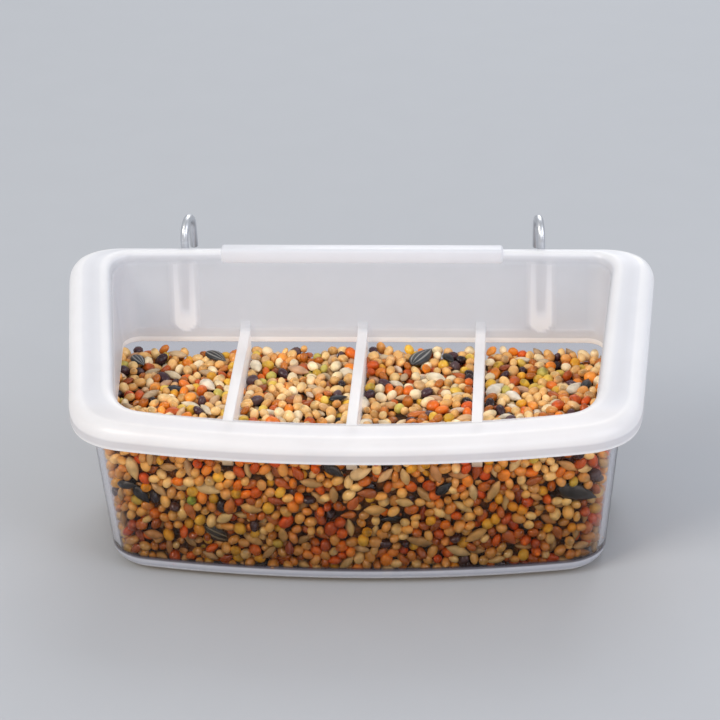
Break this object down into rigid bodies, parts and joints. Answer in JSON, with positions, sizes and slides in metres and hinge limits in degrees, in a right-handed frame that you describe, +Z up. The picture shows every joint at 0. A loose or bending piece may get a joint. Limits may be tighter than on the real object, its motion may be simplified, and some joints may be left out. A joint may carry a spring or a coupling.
{
  "type": "cage bird feeder",
  "caption": "Clear bow-fronted seed cup under a frosted guard with a raised back, feeding bays and wire hooks, filled with mixed seed.",
  "frame": {"origin": "on the ground under the middle of the part's bounding box, the hooks included", "axes": "+Z up, +X along the width, the bowed front faces -Y and the hooks stand at +Y"},
  "size_m": [0.15, 0.0776, 0.0725],
  "materials": {
    "clear_polystyrene": "clear, polished",
    "mixed_seed": "loose grain, matt",
    "frosted_polypropylene": "frosted, milky",
    "steel_wire": "drawn wire, satin"
  },
  "bodies": {
    "cup": {"clear_cup": "clear_polystyrene", "seed_mix": "mixed_seed"},
    "guard": {"guard": "frosted_polypropylene"},
    "hook_left": {"hook_left": "steel_wire"},
    "hook_right": {"hook_right": "steel_wire"}
  },
  "joints": [
    {"name": "guard_lift", "type": "slide", "parent": "cup", "child": "guard", "axis": [0, 0, 1], "range_m": [0, 0.03]},
    {"name": "hook_left_swivel", "type": "hinge", "parent": "guard", "child": "hook_left", "pos_m": [-0.0463, 0.02913, 0.0565], "axis": [0, 0, 1], "range_deg": [-60, 60]},
    {"name": "hook_right_swivel", "type": "hinge", "parent": "guard", "child": "hook_right", "pos_m": [0.0463, 0.02913, 0.0565], "axis": [0, 0, 1], "range_deg": [-60, 60]}
  ]
}
